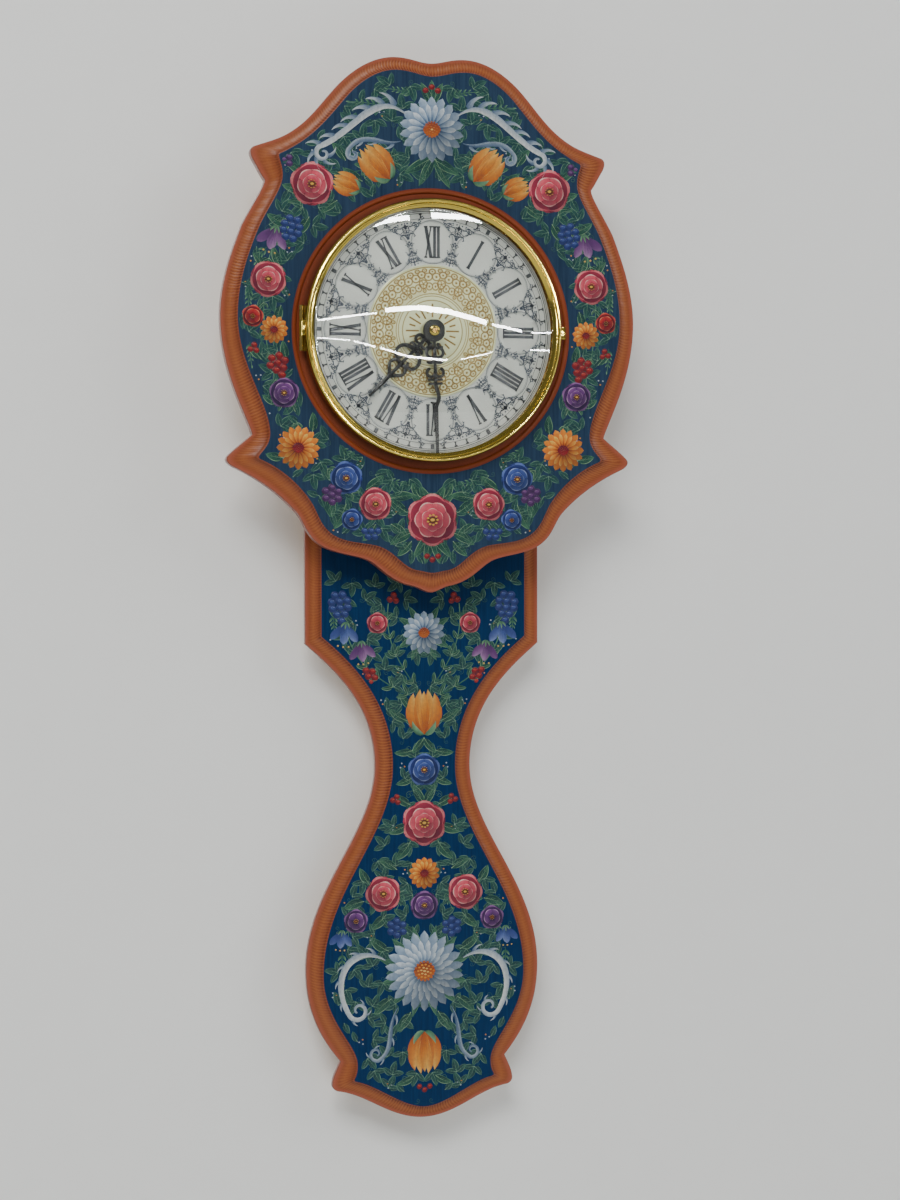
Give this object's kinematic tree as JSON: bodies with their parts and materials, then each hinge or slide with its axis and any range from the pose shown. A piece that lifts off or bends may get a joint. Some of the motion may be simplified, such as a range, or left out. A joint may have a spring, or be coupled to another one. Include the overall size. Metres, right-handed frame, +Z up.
{
  "type": "pendulum wall clock",
  "caption": "Painted wooden wall clock: shaped head board with hinged brass bezel and glazed dial, over a vase-shaped board that swings as the pendulum.",
  "frame": {"origin": "centre of the hanger plate's round entry hole, at the wall", "axes": "+X to the right seen from the front, +Y into the wall, +Z up"},
  "size_m": [0.3, 0.0693, 0.7533],
  "materials": {
    "painted_board": "satin varnish over paint",
    "bare_wood": "planed, unfinished",
    "screw_steel": "zinc plated",
    "plate_steel": "plated sheet",
    "felt": "felt",
    "brass_pan": "plated sheet",
    "polished_brass": "polished and lacquered",
    "dial_print": "satin silver with black print",
    "embossed_brass": "embossed, satin",
    "clear_glass": "clear convex",
    "grey_moulding": "moulded",
    "black_moulding": "moulded",
    "rubber": "soft",
    "circuit_laminate": "laminate",
    "copper_winding": "lacquered wire",
    "battery_wrap": "plain wrap",
    "gear_brass": "machined",
    "black_hand": "black lacquer",
    "white_moulding": "moulded",
    "magnet_grey": "ferrite"
  },
  "bodies": {
    "clock_head": {"head_board": "painted_board", "case_side_left": "bare_wood", "case_side_right": "bare_wood", "case_top_rail": "bare_wood", "case_screws": "screw_steel", "hanger_plate": "plate_steel", "hanger_screws": "screw_steel", "wall_pads": "felt", "dial_pan": "brass_pan", "pan_screws": "polished_brass", "dial_plate": "dial_print", "dial_centre": "embossed_brass", "hinge_pin": "polished_brass", "movement_case": "grey_moulding", "movement_cover": "black_moulding", "cover_screws": "screw_steel", "rubber_washer": "rubber", "fixing_nut": "polished_brass", "circuit_board": "circuit_laminate", "motor_coil": "copper_winding", "motor_stator": "plate_steel", "train_plate": "grey_moulding", "inner_plate": "grey_moulding", "battery": "battery_wrap", "battery_contact_positive": "plate_steel", "battery_contact_negative": "plate_steel", "pendulum_coil": "copper_winding", "pendulum_pivot_pin": "screw_steel"},
    "bezel_door": {"bezel_ring": "polished_brass", "bezel_glass": "clear_glass", "glass_retainer": "polished_brass"},
    "minute_hand_set": {"minute_arbor": "gear_brass", "minute_hand": "black_hand", "hand_nut": "polished_brass", "setting_knob": "white_moulding"},
    "hour_hand_set": {"hour_wheel": "gear_brass", "hour_hand": "black_hand"},
    "motion_wheel": {"minute_wheel": "white_moulding"},
    "third_wheel_set": {"third_wheel": "white_moulding"},
    "pendulum": {"pendulum_arm": "white_moulding", "arm_magnet": "magnet_grey", "pendulum_strap": "brass_pan", "strap_screws": "polished_brass", "pendulum_board": "painted_board"}
  },
  "joints": [
    {"name": "bezel_hinge", "type": "hinge", "parent": "clock_head", "child": "bezel_door", "pos_m": [-0.0945, -0.0568, -0.1], "axis": [0, 0, -1], "range_deg": [0, 110]},
    {"name": "minute_hand_turn", "type": "hinge", "parent": "clock_head", "child": "minute_hand_set", "pos_m": [0, -0.0523, -0.1], "axis": [0, 1, 0], "continuous": true},
    {"name": "hour_hand_turn", "type": "hinge", "parent": "clock_head", "child": "hour_hand_set", "pos_m": [0, -0.0523, -0.1], "axis": [0, 1, 0], "continuous": true},
    {"name": "motion_wheel_turn", "type": "hinge", "parent": "clock_head", "child": "motion_wheel", "pos_m": [0.01039, -0.0523, -0.094], "axis": [0, 1, 0], "continuous": true},
    {"name": "third_wheel_turn", "type": "hinge", "parent": "clock_head", "child": "third_wheel_set", "pos_m": [-0.00883, -0.0523, -0.0949], "axis": [0, 1, 0], "continuous": true},
    {"name": "pendulum_swing", "type": "hinge", "parent": "clock_head", "child": "pendulum", "pos_m": [0, -0.0333, -0.134], "axis": [0, 1, 0], "range_deg": [-3, 3]}
  ],
  "couplings": [
    {"joint": "hour_hand_turn", "follows": "minute_hand_turn", "ratio": 0.083333},
    {"joint": "motion_wheel_turn", "follows": "minute_hand_turn", "ratio": -0.33333},
    {"joint": "third_wheel_turn", "follows": "minute_hand_turn", "ratio": -7.5}
  ]
}
